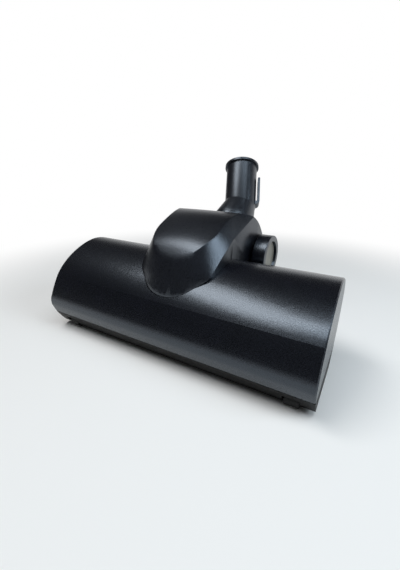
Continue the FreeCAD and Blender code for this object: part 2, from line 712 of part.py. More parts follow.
def tube_rod(radius, low, high):
    axis = tube_axis()
    return Part.makeCylinder(radius, high - low, along_neck(BEND_AT) + axis * low, axis)


def parking_hook():
    """Flat tongue beside the tube, open at its top and curved into the tube at its foot."""
    axis = tube_axis()
    out = V(0.91, 0.41, 0)
    out = (out - axis * out.dot(axis)).normalize()
    side = axis.cross(out)
    origin = along_neck(BEND_AT) - side * HOOK_WIDTH / 2

    def at(radial, along):
        return origin + out * radial + axis * along

    root = TUBE_RADIUS - 1
    inner = TUBE_RADIUS + HOOK_GAP
    outer = inner + HOOK_THICKNESS
    bend = HOOK_CORNER * (1 - math.sqrt(0.5))
    step = HOOK_GAP / 2
    edges = [
        line(at(root, 0), at(outer - HOOK_CORNER, 0)),
        arc(at(outer - HOOK_CORNER, 0), at(outer - bend, bend), at(outer, HOOK_CORNER)),
        line(at(outer, HOOK_CORNER), at(outer, HOOK_TOP - 1)),
        arc(at(outer, HOOK_TOP - 1), at((inner + outer) / 2, HOOK_TOP), at(inner, HOOK_TOP - 1)),
        line(at(inner, HOOK_TOP - 1), at(inner, HOOK_CORNER)),
        line(at(inner, HOOK_CORNER), at(inner - step, HOOK_CORNER - step)),
        line(at(inner - step, HOOK_CORNER - step), at(root, HOOK_CORNER - step)),
        line(at(root, HOOK_CORNER - step), at(root, 0)),
    ]
    return Part.Face(Part.Wire(edges)).extrude(side * HOOK_WIDTH)


def elbow_tube():
    bend = along_neck(BEND_AT)
    leg_low = COLLAR_AT + FREE
    solid = neck_rod(swivel_radius(), 26.5, leg_low + 1)
    solid = solid.fuse(neck_rod(COLLAR_RADIUS, leg_low, leg_low + 3))
    solid = solid.fuse(neck_cone(COLLAR_RADIUS, TUBE_RADIUS, leg_low + 3, BEND_AT))
    solid = solid.fuse(Part.makeSphere(TUBE_RADIUS, bend)).fuse(tube_rod(TUBE_RADIUS, 0, TUBE_LENGTH))
    solid = solid.fuse(tube_rod(RIM_RADIUS, TUBE_LENGTH - RIM_HEIGHT, TUBE_LENGTH)).fuse(parking_hook())
    bore = SOCKET_RADIUS - 0.8
    hollow = neck_cone(swivel_radius() - WALL, bore, 26.0, BEND_AT).fuse(Part.makeSphere(bore, bend))
    hollow = hollow.fuse(tube_rod(bore, 0, TUBE_LENGTH)).fuse(
        tube_rod(SOCKET_RADIUS, TUBE_LENGTH - SOCKET_DEPTH, TUBE_LENGTH + 1))
    groove = neck_rod(swivel_radius() + 1, 30.2, 32.3).cut(neck_rod(swivel_radius() - 1.3, 30, 33))
    return solid.cut(hollow).cut(groove)


def swivel_ring():
    ring = neck_rod(swivel_radius() + 1.15, 30.3, 32.2)
    return ring.cut(neck_rod(swivel_radius() - 1.25, 30, 33))


# Wheels, axles, screws and the lint strip

def front_roller():
    x = (FRONT_ROLLER_X - FRONT_ROLLER_WIDTH / 2, FRONT_ROLLER_X + FRONT_ROLLER_WIDTH / 2)
    at = (FRONT_ROLLER_Y, FRONT_ROLLER_RADIUS)
    wheel = rod_x(FRONT_ROLLER_RADIUS, x, at)
    rims = [edge for edge in wheel.Edges if edge.Curve.TypeId == "Part::GeomCircle"]
    return wheel.makeFillet(0.8, rims).cut(rod_x(FRONT_AXLE_RADIUS + RUNNING, x, at))


def front_axle():
    return rod_x(FRONT_AXLE_RADIUS, front_axle_x(), (FRONT_ROLLER_Y, FRONT_ROLLER_RADIUS))


def rear_wheel():
    at = (REAR_WHEEL_Y, REAR_WHEEL_RADIUS)
    x = (REAR_WHEEL_X - REAR_WHEEL_WIDTH / 2, REAR_WHEEL_X + REAR_WHEEL_WIDTH / 2)
    wheel = rod_x(REAR_WHEEL_RADIUS, x, at)
    rims = [edge for edge in wheel.Edges if edge.Curve.TypeId == "Part::GeomCircle"]
    wheel = wheel.makeFillet(0.8, rims)
    for face in ((x[0] - 1, x[0] + 1.4), (x[1] - 1.4, x[1] + 1)):
        wheel = wheel.cut(ring_x(REAR_WHEEL_RADIUS - 2.6, REAR_AXLE_RADIUS + 2.2, face, at))
    return wheel.cut(rod_x(REAR_AXLE_RADIUS + RUNNING, x, at))


def rear_axle():
    return rod_x(REAR_AXLE_RADIUS, rear_axle_x(), (REAR_WHEEL_Y, REAR_WHEEL_RADIUS))


def base_screws():
    screws = []
    for x, y in SCREWS:
        head = Part.makeCylinder(SCREW_HEAD_RADIUS, SCREW_HEAD_HEIGHT, V(x, y, SCREW_HEAD_Z))
        shaft = Part.makeCylinder(SCREW_RADIUS, SCREW_LENGTH, V(x, y, SCREW_HEAD_Z + SCREW_HEAD_HEIGHT))
        screws.append(head.fuse(shaft))
    return Part.makeCompound(screws + [mirrored(s) for s in screws])


def lint_strip():
    reach = CORE_HALF - STRIP_END
    y = SOLE_BACK - STRIP_BACK - STRIP_WIDTH
    return box((-reach, reach), (y, y + STRIP_WIDTH), (SOLE_HEIGHT - STRIP_DEPTH, SOLE_HEIGHT))


def pieces():
    bearing_end = CHAMBER_HALF + BEARING_LENGTH
    volute_end = VOLUTE_HALF + PLATE
    pinion_x = (BELT_X - PULLEY_WIDTH / 2, BELT_X + PULLEY_WIDTH / 2)
    pinion = toothed(PINION_RADIUS, pinion_x, TURBINE, 10, 0.9)
    parts = {
        "top_cover": top_cover(),
        "turbine_hood": turbine_hood(),
        "base_plate": base_plate(),
        "turbine_housing": turbine_housing(),
        "drive_belt": drive_belt(),
        "belt_guard": belt_guard(),
        "lint_strip": lint_strip(),
        "base_screws": base_screws(),
        "roller_core": roller_core(),
        "roller_pulley": roller_pulley(),
        "roller_axle": rod_x(AXLE_RADIUS, (-bearing_end, bearing_end), ROLLER),
        "turbine_wheel": turbine_wheel(),
        "turbine_axle": rod_x(TURBINE_AXLE, (pinion_x[0] - 2, volute_end + 1), TURBINE),
        "turbine_pinion": pinion.cut(rod_x(TURBINE_AXLE, pinion_x, TURBINE)),
        "neck": neck(),
        "elbow_tube": elbow_tube(),
        "swivel_ring": swivel_ring(),
    }
    for name, rows in tuft_rows().items():
        parts[name] = Part.makeCompound(rows)
    sided = {
        "neck_hub": neck_hub(),
        "front_roller": front_roller(),
        "front_axle": front_axle(),
        "rear_wheel": rear_wheel(),
        "rear_axle": rear_axle(),
        "roller_bearing": ring_x(BEARING_RADIUS, AXLE_RADIUS + RUNNING, (CHAMBER_HALF, bearing_end), ROLLER),
        "turbine_bearing": ring_x(TURBINE_BEARING, TURBINE_AXLE + RUNNING, (VOLUTE_HALF, volute_end), TURBINE),
    }
    for name, shape in sided.items():
        parts[name + "_right"] = shape
        parts[name + "_left"] = mirrored(shape)
    return parts


def footprint_shift():
    axis = tube_axis()
    rim = along_neck(BEND_AT) + axis * TUBE_LENGTH
    back = rim.y + RIM_RADIUS * math.sqrt(1 - axis.y ** 2)
    front = -NOSE_REACH - 0.1
    return -(front + back) / 2


def main():
    os.makedirs("parts", exist_ok=True)
    shift = V(0, footprint_shift(), 0)
    for name, shape in pieces().items():
        shape = shape.copy()
        shape.translate(shift)
        shape.exportStep("parts/" + name + ".step")
        print(name, len(shape.Solids), shape.isValid(), round(shape.Volume, 1))
    print("shift along Y", round(shift.y, 3))


main()
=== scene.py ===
import math

import bmesh
import bpy
from mathutils import Matrix, Vector


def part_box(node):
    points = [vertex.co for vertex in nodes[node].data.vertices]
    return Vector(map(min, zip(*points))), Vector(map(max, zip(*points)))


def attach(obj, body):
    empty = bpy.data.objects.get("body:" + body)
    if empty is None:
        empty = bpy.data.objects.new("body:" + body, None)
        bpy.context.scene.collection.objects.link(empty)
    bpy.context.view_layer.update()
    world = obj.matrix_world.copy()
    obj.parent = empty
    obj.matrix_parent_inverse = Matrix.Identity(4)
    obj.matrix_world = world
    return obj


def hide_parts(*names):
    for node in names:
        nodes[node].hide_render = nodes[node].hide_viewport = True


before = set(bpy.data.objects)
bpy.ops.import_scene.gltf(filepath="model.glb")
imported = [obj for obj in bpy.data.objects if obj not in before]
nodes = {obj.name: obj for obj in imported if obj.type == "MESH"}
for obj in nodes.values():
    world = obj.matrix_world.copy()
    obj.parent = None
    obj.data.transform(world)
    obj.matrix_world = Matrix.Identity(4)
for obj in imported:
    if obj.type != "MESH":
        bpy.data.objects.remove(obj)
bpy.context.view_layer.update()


# Top cover: the domed shell over the brush, moulded in black plastic with a fine grain.
# It carries the straight crease above the front face, and two flat ends with a small edge.
# Screws from below hold it on the base.

NOISE_LOW, NOISE_HIGH = 0.32, 0.68
ROUGHNESS_SPAN = 0.05
WELD = 0.000002
FLAT_ANGLE, SMOOTH_ANGLE, EDGE_ANGLE = math.radians(0.6), math.radians(32), math.radians(38)


def noise(tree, scale, detail, stretch=(1, 1, 1)):
    """Noise in the object's own coordinates, drawn out along an axis where stretch is small."""
    place = tree.nodes.new("ShaderNodeTexCoord")
    mapping = tree.nodes.new("ShaderNodeMapping")
    mapping.inputs["Scale"].default_value = stretch
    texture = tree.nodes.new("ShaderNodeTexNoise")
    texture.inputs["Scale"].default_value = scale
    texture.inputs["Detail"].default_value = detail
    tree.links.new(place.outputs["Object"], mapping.inputs["Vector"])
    tree.links.new(mapping.outputs["Vector"], texture.inputs["Vector"])
    return texture.outputs["Fac"]


def spread(tree, value, low, high):
    """Turns the middle of a noise into the range from low to high."""
    reach = tree.nodes.new("ShaderNodeMapRange")
    reach.inputs["From Min"].default_value = NOISE_LOW
    reach.inputs["From Max"].default_value = NOISE_HIGH
    reach.inputs["To Min"].default_value = low
    reach.inputs["To Max"].default_value = high
    tree.links.new(value, reach.inputs["Value"])
    return reach.outputs["Result"]


def finish(name, tone, roughness, grain, depth, shift=0.25, cloud=60.0, stretch=(1, 1, 1), metal=0.0,
           gloss=0.5, tint=(1, 1, 1)):
    """A surface with clouded colour, and a grain that moves its sheen and its relief."""
    material = bpy.data.materials.new(name)
    material.use_nodes = True
    tree = material.node_tree
    shader = tree.nodes["Principled BSDF"]
    shader.inputs["Metallic"].default_value = metal
    shader.inputs["Specular IOR Level"].default_value = gloss
    shader.inputs["Specular Tint"].default_value = (*tint, 1)
    clouds = noise(tree, cloud, 4.0, stretch)
    grains = noise(tree, grain, 2.0, stretch)

    colour = tree.nodes.new("ShaderNodeMix")
    colour.data_type = "RGBA"
    colour.inputs[6].default_value = (*[c * (1 - shift) for c in tone], 1)
    colour.inputs[7].default_value = (*[c * (1 + shift) for c in tone], 1)
    tree.links.new(spread(tree, clouds, 0.0, 1.0), colour.inputs[0])
    tree.links.new(colour.outputs[2], shader.inputs["Base Color"])

    sheen = spread(tree, grains, roughness - ROUGHNESS_SPAN, roughness + ROUGHNESS_SPAN)
    tree.links.new(sheen, shader.inputs["Roughness"])
    bump = tree.nodes.new("ShaderNodeBump")
    bump.inputs["Distance"].default_value = depth
    tree.links.new(grains, bump.inputs["Height"])
    tree.links.new(bump.outputs["Normal"], shader.inputs["Normal"])
    return material


def black_plastic(name, roughness, depth):
    """The black that all the outer mouldings share, its reflections tinted blue as painted window light."""
    return finish(name, BLACK, roughness, GRAIN, depth, gloss=SHEEN, tint=PAINTED_BLUE_LIGHT_TINT)


def moulded(name, node, body, material, edge=0.0, reshape=None):
    """A solid of the frame as a moulding: its facets joined, its edges softened."""
    mesh = nodes[node].data.copy()
    mesh.name = name
    form = bmesh.new()
    form.from_mesh(mesh)
    bmesh.ops.remove_doubles(form, verts=form.verts, dist=WELD)
    if reshape:
        reshape(form)
    bmesh.ops.dissolve_limit(form, angle_limit=FLAT_ANGLE, verts=form.verts, edges=form.edges)
    for face in form.faces:
        face.smooth = True
    for rim in form.edges:
        rim.smooth = rim.calc_face_angle(0.0) < SMOOTH_ANGLE
    form.to_mesh(mesh)
    form.free()
    piece = bpy.data.objects.new(name, mesh)
    bpy.context.scene.collection.objects.link(piece)
    mesh.materials.clear()
    mesh.materials.append(material)
    if edge:
        soften = piece.modifiers.new("soft edges", "BEVEL")
        soften.width = edge
        soften.segments = 2
        soften.limit_method = "ANGLE"
        soften.angle_limit = EDGE_ANGLE
        soften.harden_normals = True
    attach(piece, body)
    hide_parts(node)
    return piece


GRAIN = 1300.0
BLACK = (0.002, 0.002, 0.004)
# The specular tint paints the blue of the window light into the reflections of the black plastics.
SHEEN, PAINTED_BLUE_LIGHT_TINT = 0.9, (0.76, 0.87, 1.0)
cover_black = black_plastic("cover_black", roughness=0.27, depth=0.00003)
cover = moulded("cover", "top_cover", "head", cover_black, edge=0.0006)
CREASE_Y, CREASE_Z, CREASE_NEAR = -0.099525, 0.06, 0.0003
for edge in cover.data.edges:
    ends = [cover.data.vertices[i].co for i in edge.vertices]
    if max(math.hypot(end.y - CREASE_Y, end.z - CREASE_Z) for end in ends) < CREASE_NEAR:
        edge.use_edge_sharp = True


# Turbine hood: the raised housing with its slanting oval face, moulded like the cover.
# It clips over the turbine and its two cheeks hold the tilting neck.

def full_shoulders(form):
    """Gives the oval face fuller sides and rounds its border."""
    for point in form.verts:
        share = (point.co.y - SHOULDER_FRONT) / (SHOULDER_BACK - SHOULDER_FRONT)
        if 0 < share < 1 and point.co.z > SHOULDER_FOOT:
            height = min(1.0, (point.co.z - SHOULDER_FOOT) / SHOULDER_RISE)
            rise = height * height * (3 - 2 * height)
            side = point.co.x / math.hypot(point.co.x, ROOF_HALF)
            front = math.exp(-((point.co.y - OVAL_FRONT) / FRONT_SPAN) ** 2)
            point.co.x += side * rise * (SHOULDER_REACH * math.sin(math.pi * share) + FRONT_REACH * front)
    form.normal_update()
    border = [edge for edge in form.edges
              if edge.is_manifold and edge.calc_face_angle_signed() > BORDER_ANGLE
              and all(end.co.z > BORDER_FOOT and end.co.y < SHOULDER_BACK for end in edge.verts)]
    bmesh.ops.bevel(form, geom=border, offset=BORDER_ROUND, segments=3, profile=0.5, affect="EDGES",
                    clamp_overlap=True)


SHOULDER_FRONT, SHOULDER_BACK = -0.0955, -0.0155
SHOULDER_FOOT, SHOULDER_RISE, SHOULDER_REACH = 0.069, 0.014, 0.0022
OVAL_FRONT, FRONT_SPAN, FRONT_REACH = -0.0800, 0.012, 0.0034
ROOF_HALF = 0.009
BORDER_ANGLE, BORDER_FOOT, BORDER_ROUND = math.radians(28), 0.07, 0.0016
hood_black = black_plastic("hood_black", roughness=0.32, depth=0.00006)
moulded("hood", "turbine_hood", "head", hood_black, edge=0.0005, reshape=full_shoulders)


# Base: lower housing with the suction mouth, the brush chamber and the screw posts.
# It is the same black plastic, duller, and shows only its front bevel from above.

base_black = finish("base_black", (0.004, 0.004, 0.004), 0.45, GRAIN, 0.00004, gloss=0.12)
moulded("base", "base_plate", "head", base_black, edge=0.0003)


# Base screws: six pan heads with a cross recess, sunk in the sole and holding the cover.
# One screw is made and set at each place by Geometry Nodes.

def new_tree(name, sizes):
    """An empty Geometry Nodes tree with a geometry going through and named inputs."""
    tree = bpy.data.node_groups.new(name, "GeometryNodeTree")
    tree.interface.new_socket("Geometry", in_out="INPUT", socket_type="NodeSocketGeometry")
    for label, kind in sizes.items():
        tree.interface.new_socket(label, in_out="INPUT", socket_type="NodeSocket" + kind)
    tree.interface.new_socket("Geometry", in_out="OUTPUT", socket_type="NodeSocketGeometry")
    return tree, tree.nodes.new("NodeGroupInput"), tree.nodes.new("NodeGroupOutput")


def close_tree(tree, start, end, instances):
    """Ends a tree: the copies are made real and get their material."""
    real = tree.nodes.new("GeometryNodeRealizeInstances")
    coat = tree.nodes.new("GeometryNodeSetMaterial")
    tree.links.new(instances, real.inputs["Geometry"])
    tree.links.new(real.outputs["Geometry"], coat.inputs["Geometry"])
    tree.links.new(start.outputs["Material"], coat.inputs["Material"])
    tree.links.new(coat.outputs["Geometry"], end.inputs["Geometry"])


def repeated(name, mesh, tree, values, body, node):
    """Runs a tree on a mesh and keeps the result as one plain piece."""
    seed = bpy.data.objects.new(name + "_places", mesh)
    bpy.context.scene.collection.objects.link(seed)
    pattern = seed.modifiers.new("pattern", "NODES")
    pattern.node_group = tree
    for socket in tree.interface.items_tree:
        if socket.in_out == "INPUT" and socket.name in values:
            pattern[socket.identifier] = values[socket.name]
    depsgraph = bpy.context.evaluated_depsgraph_get()
    result = bpy.data.meshes.new_from_object(seed.evaluated_get(depsgraph))
    bpy.data.objects.remove(seed)
    piece = bpy.data.objects.new(name, result)
    bpy.context.scene.collection.objects.link(piece)
    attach(piece, body)
    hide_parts(node)
    return piece


def screw(head_radius, head_height, shaft_radius, shaft_length, slot, reach):
    """Pan head facing down with a cross recess, and its shaft, around the Z axis from z = 0."""
    form = bmesh.new()
    outline = []
    for radius, z in ((head_radius * CROWN_SHARE, 0.0), (head_radius, head_height * CROWN_HEIGHT),
                      (head_radius, head_height), (shaft_radius, head_height),
                      (shaft_radius, head_height + shaft_length)):
        ring = []
        for i in range(SCREW_SIDES):
            turn = 2 * math.pi * i / SCREW_SIDES
            ring.append(form.verts.new((radius * math.cos(turn), radius * math.sin(turn), z)))
        outline.append(ring)
    for low, high in zip(outline, outline[1:]):
        for i in range(SCREW_SIDES):
            form.faces.new((low[i - 1], low[i], high[i], high[i - 1]))
    form.faces.new(outline[-1])
    plus = [(slot, slot), (slot, reach), (-slot, reach), (-slot, slot), (-reach, slot), (-reach, -slot),
            (-slot, -slot), (-slot, -reach), (slot, -reach), (slot, -slot), (reach, -slot), (reach, slot)]
    rim = [form.verts.new((x, y, 0.0)) for x, y in plus]
    bed = [form.verts.new((x * BED_SHARE, y * BED_SHARE, head_height * BED_DEPTH)) for x, y in plus]
    for i in range(len(plus)):
        form.faces.new((rim[i - 1], rim[i], bed[i], bed[i - 1]))
    form.faces.new(bed)
    borders = [form.edges.get((ring[i - 1], ring[i])) or form.edges.new((ring[i - 1], ring[i]))
               for ring in (outline[0], rim) for i in range(len(ring))]
    bmesh.ops.bridge_loops(form, edges=borders)
    bmesh.ops.recalc_face_normals(form, faces=form.faces)
    mesh = bpy.data.meshes.new("screw")
    form.to_mesh(mesh)
    form.free()
    return mesh


def places(name, points):
    """A mesh of single points, where the copies of a pattern go."""
    mesh = bpy.data.meshes.new(name)
    mesh.from_pydata(points, [], [])
    return mesh


screw_tree, start, end = new_tree("screws", {"Screw": "Object", "Turn": "Float", "Material": "Material"})
part = screw_tree.nodes.new("GeometryNodeObjectInfo")
turned = screw_tree.nodes.new("FunctionNodeRandomValue")
turned.inputs["Seed"].default_value = 3
upright = screw_tree.nodes.new("ShaderNodeCombineXYZ")
on_points = screw_tree.nodes.new("GeometryNodeInstanceOnPoints")
screw_tree.links.new(start.outputs["Geometry"], on_points.inputs["Points"])
screw_tree.links.new(start.outputs["Screw"], part.inputs["Object"])
screw_tree.links.new(part.outputs["Geometry"], on_points.inputs["Instance"])
screw_tree.links.new(start.outputs["Turn"], turned.inputs[3])
screw_tree.links.new(turned.outputs[1], upright.inputs["Z"])
screw_tree.links.new(upright.outputs["Vector"], on_points.inputs["Rotation"])
close_tree(screw_tree, start, end, on_points.outputs["Instances"])

SCREW_SIDES = 24
CROWN_SHARE, CROWN_HEIGHT = 0.86, 0.35
BED_SHARE, BED_DEPTH = 0.7, 0.6
SCREW_SEAT = 0.006
SCREW_PLACES = ((0.127, -0.073525), (0.127, -0.042525), (0.06, -0.032525))
screw_steel = finish("screw_steel", (0.33, 0.33, 0.34), 0.34, 900.0, 0.00001, metal=1.0)
screw_mesh = screw(head_radius=0.0035, head_height=0.0028, shaft_radius=0.0015, shaft_length=0.024,
                   slot=0.0004, reach=0.0019)
one_screw = bpy.data.objects.new("one_screw", screw_mesh)
bpy.context.scene.collection.objects.link(one_screw)
heads = [(side * x, y, SCREW_SEAT) for x, y in SCREW_PLACES for side in (1, -1)]
values = {"Screw": one_screw, "Turn": math.pi, "Material": screw_steel}
repeated("screws", places("screws", heads), screw_tree, values, "head", "base_screws")
bpy.data.objects.remove(one_screw)


# Lint strip: a band of felt behind the mouth that picks threads off the carpet.
# It is a backing with short fibres standing from its lower side, leaning to the back.

def fibre_tree():
    """Short tapered fibres scattered over the faces of a mesh."""
    tree, start, end = new_tree("fibres", {"Per square metre": "Float", "Length": "Float",
                                           "Thickness": "Float", "Lean": "Vector", "Seed": "Int",
                                           "Material": "Material"})
    scatter = tree.nodes.new("GeometryNodeDistributePointsOnFaces")
    tree.links.new(start.outputs["Geometry"], scatter.inputs["Mesh"])
    tree.links.new(start.outputs["Per square metre"], scatter.inputs["Density"])
    tree.links.new(start.outputs["Seed"], scatter.inputs["Seed"])
    strand = tree.nodes.new("GeometryNodeMeshCone")
    strand.inputs["Vertices"].default_value = 3
    strand.inputs["Radius Top"].default_value = 0.0
    tree.links.new(start.outputs["Thickness"], strand.inputs["Radius Bottom"])
    tree.links.new(start.outputs["Length"], strand.inputs["Depth"])
    stray = tree.nodes.new("FunctionNodeRandomValue")
    stray.data_type = "FLOAT_VECTOR"
    stray.inputs[0].default_value = [-reach for reach in FIBRE_STRAY]
    stray.inputs[1].default_value = FIBRE_STRAY
    tree.links.new(start.outputs["Seed"], stray.inputs["Seed"])
    way = tree.nodes.new("ShaderNodeVectorMath")
    tree.links.new(start.outputs["Lean"], way.inputs[0])
    tree.links.new(stray.outputs[0], way.inputs[1])
    aim = tree.nodes.new("FunctionNodeAlignRotationToVector")
    tree.links.new(way.outputs["Vector"], aim.inputs["Vector"])
    on_points = tree.nodes.new("GeometryNodeInstanceOnPoints")
    tree.links.new(scatter.outputs["Points"], on_points.inputs["Points"])
    tree.links.new(strand.outputs["Mesh"], on_points.inputs["Instance"])
    tree.links.new(aim.outputs["Rotation"], on_points.inputs["Rotation"])
    close_tree(tree, start, end, on_points.outputs["Instances"])
    return tree


felt_grey = finish("felt_grey", (0.09, 0.085, 0.08), 0.9, 2600.0, 0.00003, shift=0.5, cloud=700.0, gloss=0.1)
(low_x, low_y, low_z), (high_x, high_y, high_z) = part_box("lint_strip")
PILE, PILE_MARGIN, FIBRE_STRAY = 0.0006, 0.0008, (0.6, 0.6, 0.2)
corners = [(x, y, z) for z in (low_z + PILE, high_z) for x, y in
           ((low_x, low_y), (high_x, low_y), (high_x, high_y), (low_x, high_y))]
sides = [(0, 3, 2, 1), (4, 5, 6, 7), (0, 1, 5, 4), (1, 2, 6, 5), (2, 3, 7, 6), (3, 0, 4, 7)]
backing = bpy.data.meshes.new("strip_backing")
backing.from_pydata(corners, [], sides)
backing.materials.append(felt_grey)
strip = bpy.data.objects.new("strip_backing", backing)
bpy.context.scene.collection.objects.link(strip)
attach(strip, "head")
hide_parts("lint_strip")
left, right = low_x + PILE_MARGIN, high_x - PILE_MARGIN
front, back = low_y + PILE_MARGIN, high_y - PILE_MARGIN
corners = [(x, y, low_z + PILE) for x, y in ((left, front), (right, front), (right, back), (left, back))]
pile_bed = bpy.data.meshes.new("strip_pile")
pile_bed.from_pydata(corners, [], [(0, 3, 2, 1)])
values = {"Per square metre": 3000000.0, "Length": PILE * 0.95, "Thickness": 0.00012, "Lean": (0, 0.5, -1),
          "Seed": 4, "Material": felt_grey}
repeated("strip_fibres", pile_bed, fibre_tree(), values, "head", "lint_strip")


# Brush roller: a turned core with tufts of nylon in two helical rows, left and right of the belt.
# Each tuft is a bunch of stiff, straight filaments pressed into the core, slightly splayed.

core_black = finish("core_black", (0.02, 0.02, 0.022), 0.32, 700.0, 0.00002, gloss=0.4)
moulded("core", "roller_core", "brush_roller", core_black, edge=0.0003)

nylon = finish("nylon", (0.03, 0.029, 0.031), 0.42, 1500.0, 0.00001, shift=0.6, cloud=260.0, gloss=0.4)


def tuft_tree():
    """Bunches of filaments standing on points, along the points' own outward direction."""
    tree, start, end = new_tree("tufts", {"Filaments": "Int", "Tuft radius": "Float", "Length": "Float",
                                          "Thickness": "Float", "Splay": "Float", "Seed": "Int",
                                          "Material": "Material"})
    bunch = tree.nodes.new("GeometryNodeDuplicateElements")
    bunch.domain = "POINT"
    tree.links.new(start.outputs["Geometry"], bunch.inputs["Geometry"])
    tree.links.new(start.outputs["Filaments"], bunch.inputs["Amount"])
    outward = tree.nodes.new("GeometryNodeInputNamedAttribute")
    outward.data_type = "FLOAT_VECTOR"
    outward.inputs["Name"].default_value = "out"

    stray = tree.nodes.new("FunctionNodeRandomValue")
    stray.data_type = "FLOAT_VECTOR"
    stray.inputs[0].default_value = (-1, -1, -1)
    tree.links.new(start.outputs["Seed"], stray.inputs["Seed"])
    along = tree.nodes.new("ShaderNodeVectorMath")
    along.operation = "PROJECT"
    tree.links.new(stray.outputs[0], along.inputs[0])
    tree.links.new(outward.outputs[0], along.inputs[1])
    across = tree.nodes.new("ShaderNodeVectorMath")
    across.operation = "SUBTRACT"
    tree.links.new(stray.outputs[0], across.inputs[0])
    tree.links.new(along.outputs["Vector"], across.inputs[1])

    offset = tree.nodes.new("ShaderNodeVectorMath")
    offset.operation = "SCALE"
    tree.links.new(across.outputs["Vector"], offset.inputs[0])
    tree.links.new(start.outputs["Tuft radius"], offset.inputs["Scale"])
    placed = tree.nodes.new("GeometryNodeSetPosition")
    tree.links.new(bunch.outputs["Geometry"], placed.inputs["Geometry"])
    tree.links.new(offset.outputs["Vector"], placed.inputs["Offset"])

    lean = tree.nodes.new("ShaderNodeVectorMath")
    lean.operation = "SCALE"
    tree.links.new(across.outputs["Vector"], lean.inputs[0])
    tree.links.new(start.outputs["Splay"], lean.inputs["Scale"])
    way = tree.nodes.new("ShaderNodeVectorMath")
    tree.links.new(outward.outputs[0], way.inputs[0])
    tree.links.new(lean.outputs["Vector"], way.inputs[1])
    aim = tree.nodes.new("FunctionNodeAlignRotationToVector")
    tree.links.new(way.outputs["Vector"], aim.inputs["Vector"])

    strand = tree.nodes.new("GeometryNodeMeshCone")
    strand.inputs["Vertices"].default_value = 3
    strand.inputs["Radius Top"].default_value = FILAMENT_TIP
    tree.links.new(start.outputs["Thickness"], strand.inputs["Radius Bottom"])
    tree.links.new(start.outputs["Length"], strand.inputs["Depth"])
    cut = tree.nodes.new("FunctionNodeRandomValue")
    cut.inputs[2].default_value, cut.inputs[3].default_value = FILAMENT_CUT
    tree.links.new(start.outputs["Seed"], cut.inputs["Seed"])
    height = tree.nodes.new("ShaderNodeCombineXYZ")
    height.inputs["X"].default_value = 1.0
    height.inputs["Y"].default_value = 1.0
    tree.links.new(cut.outputs[1], height.inputs["Z"])
    on_points = tree.nodes.new("GeometryNodeInstanceOnPoints")
    tree.links.new(placed.outputs["Geometry"], on_points.inputs["Points"])
    tree.links.new(strand.outputs["Mesh"], on_points.inputs["Instance"])
    tree.links.new(aim.outputs["Rotation"], on_points.inputs["Rotation"])
    tree.links.new(height.outputs["Vector"], on_points.inputs["Scale"])
    close_tree(tree, start, end, on_points.outputs["Instances"])
    return tree


def row_points(name, span, start, turn, root, pitch):
    """Tuft places of two opposite helical rows on the core, each with its outward direction."""
    low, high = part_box("roller_axle")
    axis_y, axis_z = (low[1] + high[1]) / 2, (low[2] + high[2]) / 2
    count = round((span[1] - span[0]) / pitch)
    points, ways = [], []
    for half_turn in (0.0, math.pi):
        for i in range(count + 1):
            share = i / count
            angle = start + half_turn + turn * share
            x = span[0] + (span[1] - span[0]) * share
            points.append((x, axis_y + root * math.cos(angle), axis_z + root * math.sin(angle)))
            ways.append((0.0, math.cos(angle), math.sin(angle)))
    mesh = places(name, points)
    outward = mesh.attributes.new("out", "FLOAT_VECTOR", "POINT")
    for i, way in enumerate(ways):
        outward.data[i].vector = way
    return mesh


TUFT_ROOT, TUFT_TIP = 0.0132, 0.0238
TUFT_PITCH = 0.0034
END_SPACE = 0.0016
FILAMENT_TIP, FILAMENT_CUT = 0.00005, (0.93, 0.995)
ROW_START, LEFT_TURN, RIGHT_TURN = 0.35, -1.6, 2.6
tufts = tuft_tree()
for side, first, turn in (("left", ROW_START, LEFT_TURN), ("right", ROW_START + LEFT_TURN, RIGHT_TURN)):
    low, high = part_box("bristles_" + side)
    span = (low[0] + END_SPACE, high[0] - END_SPACE)
    rows = row_points("rows_" + side, span, first, turn, TUFT_ROOT, TUFT_PITCH)
    values = {"Filaments": 34, "Tuft radius": 0.0011, "Length": TUFT_TIP - TUFT_ROOT, "Thickness": 0.00017,
              "Splay": 0.1, "Seed": 7, "Material": nylon}
    repeated("tufts_" + side, rows, tufts, values, "brush_roller", "bristles_" + side)

pulley_grey = finish("pulley_grey", (0.09, 0.09, 0.09), 0.45, 900.0, 0.00002, gloss=0.4)
moulded("pulley", "roller_pulley", "brush_roller", pulley_grey, edge=0.0002)
axle_steel = finish("axle_steel", (0.5, 0.5, 0.51), 0.28, 600.0, 0.000008, shift=0.15,
                    stretch=(1, 0.05, 0.05), metal=1.0)
bronze = finish("bronze", (0.4, 0.24, 0.1), 0.45, 2200.0, 0.00002, shift=0.35, metal=1.0)
moulded("roller_rod", "roller_axle", "brush_roller", axle_steel, edge=0.0002)
for side in ("left", "right"):
    moulded("roller_bush_" + side, "roller_bearing_" + side, "head", bronze, edge=0.0002)


# Turbine: white plastic wheel with curved blades on a steel axle, which carries a brass pinion for
# the belt. Bronze bushes hold it in a grey plastic housing that the air crosses.

wheel_white = finish("wheel_white", (0.42, 0.42, 0.4), 0.3, 800.0, 0.00002, shift=0.06, gloss=0.5)
moulded("fan", "turbine_wheel", "turbine", wheel_white)
moulded("fan_rod", "turbine_axle", "turbine", axle_steel, edge=0.0002)
brass = finish("brass", (0.6, 0.42, 0.16), 0.28, 900.0, 0.00001, shift=0.15, metal=1.0)
moulded("pinion", "turbine_pinion", "turbine", brass)
housing_grey = finish("housing_grey", (0.05, 0.05, 0.052), 0.45, 900.0, 0.00003, gloss=0.4)
moulded("volute", "turbine_housing", "head", housing_grey, edge=0.0003)
for side in ("left", "right"):
    moulded("fan_bush_" + side, "turbine_bearing_" + side, "head", bronze, edge=0.0002)


# Belt drive: rubber belt from the pinion to the roller's pulley, and a black plastic guard on the
# base that keeps dirt off it.

